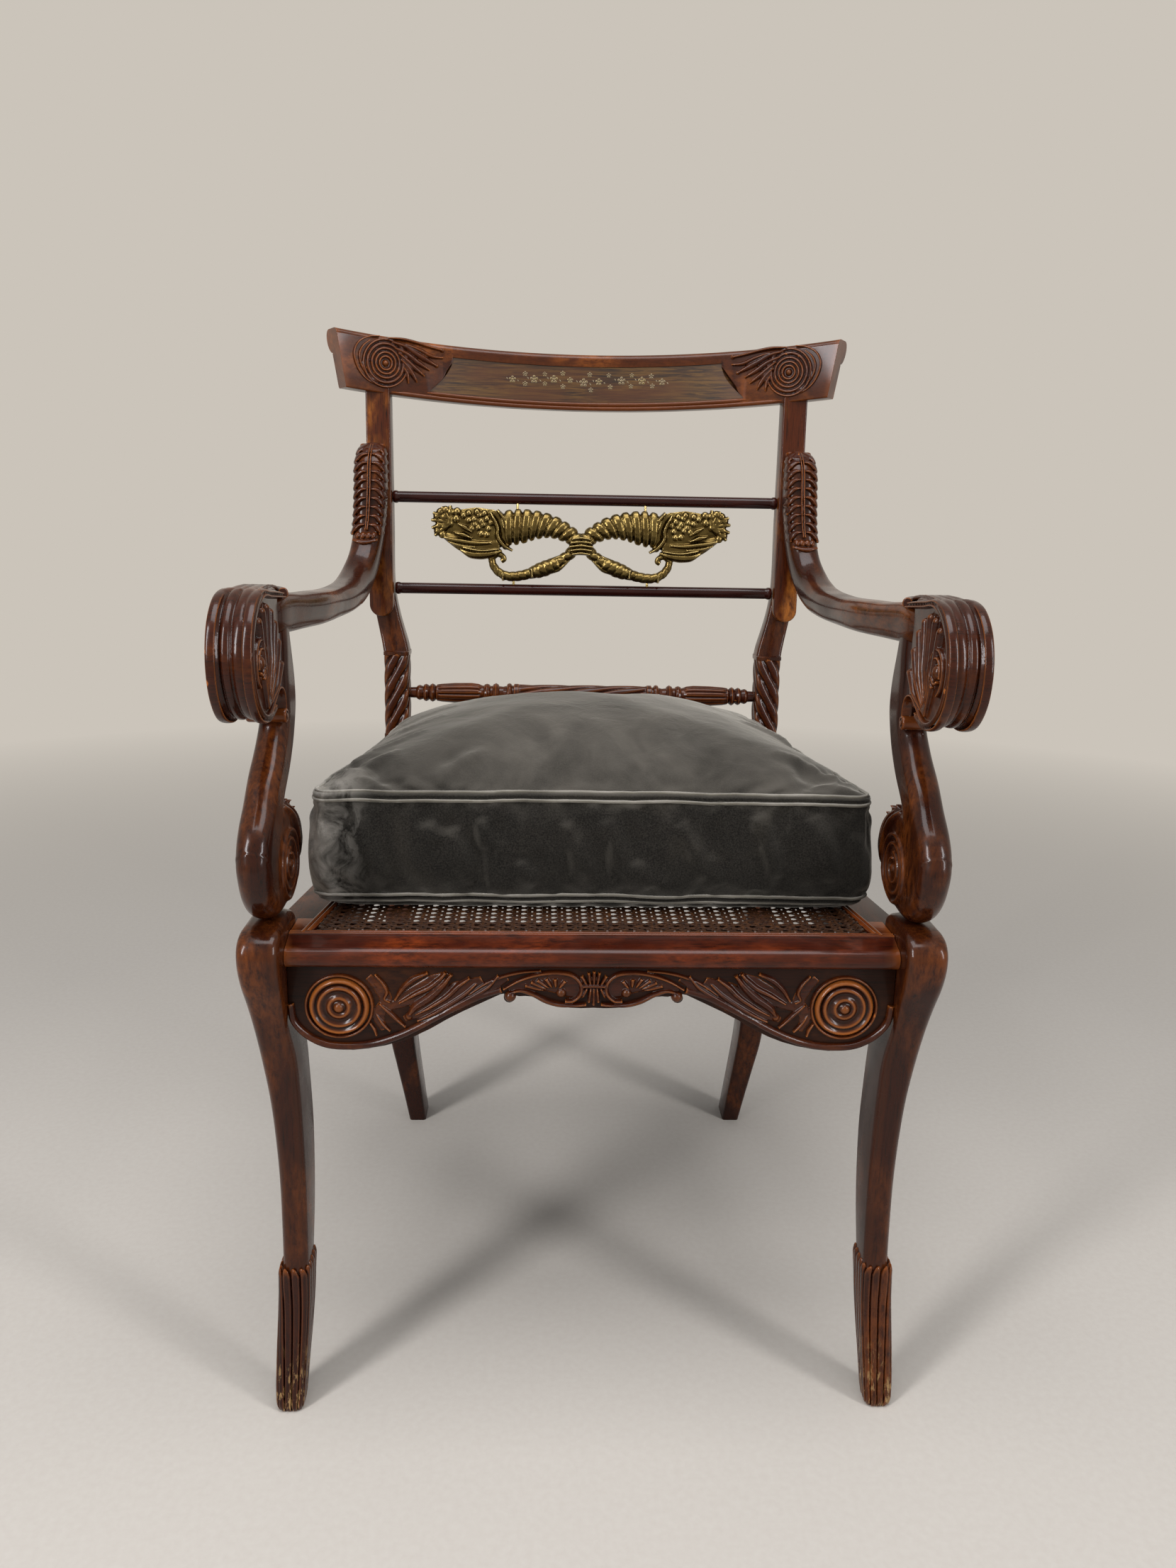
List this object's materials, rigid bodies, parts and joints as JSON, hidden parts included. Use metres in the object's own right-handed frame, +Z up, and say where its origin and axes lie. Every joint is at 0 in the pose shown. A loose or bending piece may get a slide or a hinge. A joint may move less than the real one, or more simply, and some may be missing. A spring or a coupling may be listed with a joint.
{
  "type": "klismos armchair",
  "caption": "Regency-style klismos armchair with a curved crest rail, scrolled arms on S-shaped supports, sabre legs, a caned seat, a brass back ornament and a loose box cushion.",
  "frame": {"origin": "on the floor, under the centre of the chair's bounding box", "axes": "+X to the right seen from the front, +Y from front to back, +Z up"},
  "size_m": [0.5372, 0.538, 0.8905],
  "materials": {
    "mahogany": "french polished, dark red-brown, worn",
    "rosewood_panel": "polished, streaked olive-brown",
    "ebonised_rod": "polished, near black",
    "glue_block": "bare softwood",
    "beech_dowel": "bare beech",
    "gilt_brass": "antique gilt with dark recesses",
    "screw_steel": "dull steel",
    "cane": "dark stained rattan cane",
    "velvet": "charcoal cotton velvet with a pale sheen"
  },
  "bodies": {
    "chair": {"crest_rail": "mahogany", "crest_panel": "rosewood_panel", "rear_leg_left": "mahogany", "rear_leg_right": "mahogany", "front_leg_left": "mahogany", "front_leg_right": "mahogany", "upper_rod": "ebonised_rod", "lower_rod": "ebonised_rod", "turned_rail": "mahogany", "ornament": "gilt_brass", "ornament_pin_upper_left": "gilt_brass", "ornament_pin_upper_right": "gilt_brass", "ornament_pin_lower_left": "gilt_brass", "ornament_pin_lower_right": "gilt_brass", "arm_left": "mahogany", "arm_right": "mahogany", "arm_support_left": "mahogany", "arm_support_right": "mahogany", "arm_roll_left": "mahogany", "arm_roll_right": "mahogany", "arm_dowel_left": "beech_dowel", "arm_dowel_right": "beech_dowel", "knee_dowel_left": "beech_dowel", "knee_dowel_right": "beech_dowel", "arm_screw_1_left": "screw_steel", "arm_screw_1_right": "screw_steel", "arm_screw_2_left": "screw_steel", "arm_screw_2_right": "screw_steel", "front_rail": "mahogany", "side_rail_left": "mahogany", "side_rail_right": "mahogany", "rear_rail": "mahogany", "front_apron": "mahogany", "apron_roundel_left": "mahogany", "apron_roundel_right": "mahogany", "front_block_left": "glue_block", "front_block_right": "glue_block", "rear_block_left": "glue_block", "rear_block_right": "glue_block", "cane_panel": "cane", "cane_binding": "cane"},
    "cushion": {"seat_cushion": "velvet"}
  },
  "joints": [
    {"name": "cushion_lift_out", "type": "slide", "parent": "chair", "child": "cushion", "axis": [0, -0.94, 0.3412], "range_m": [0, 0.52]}
  ]
}
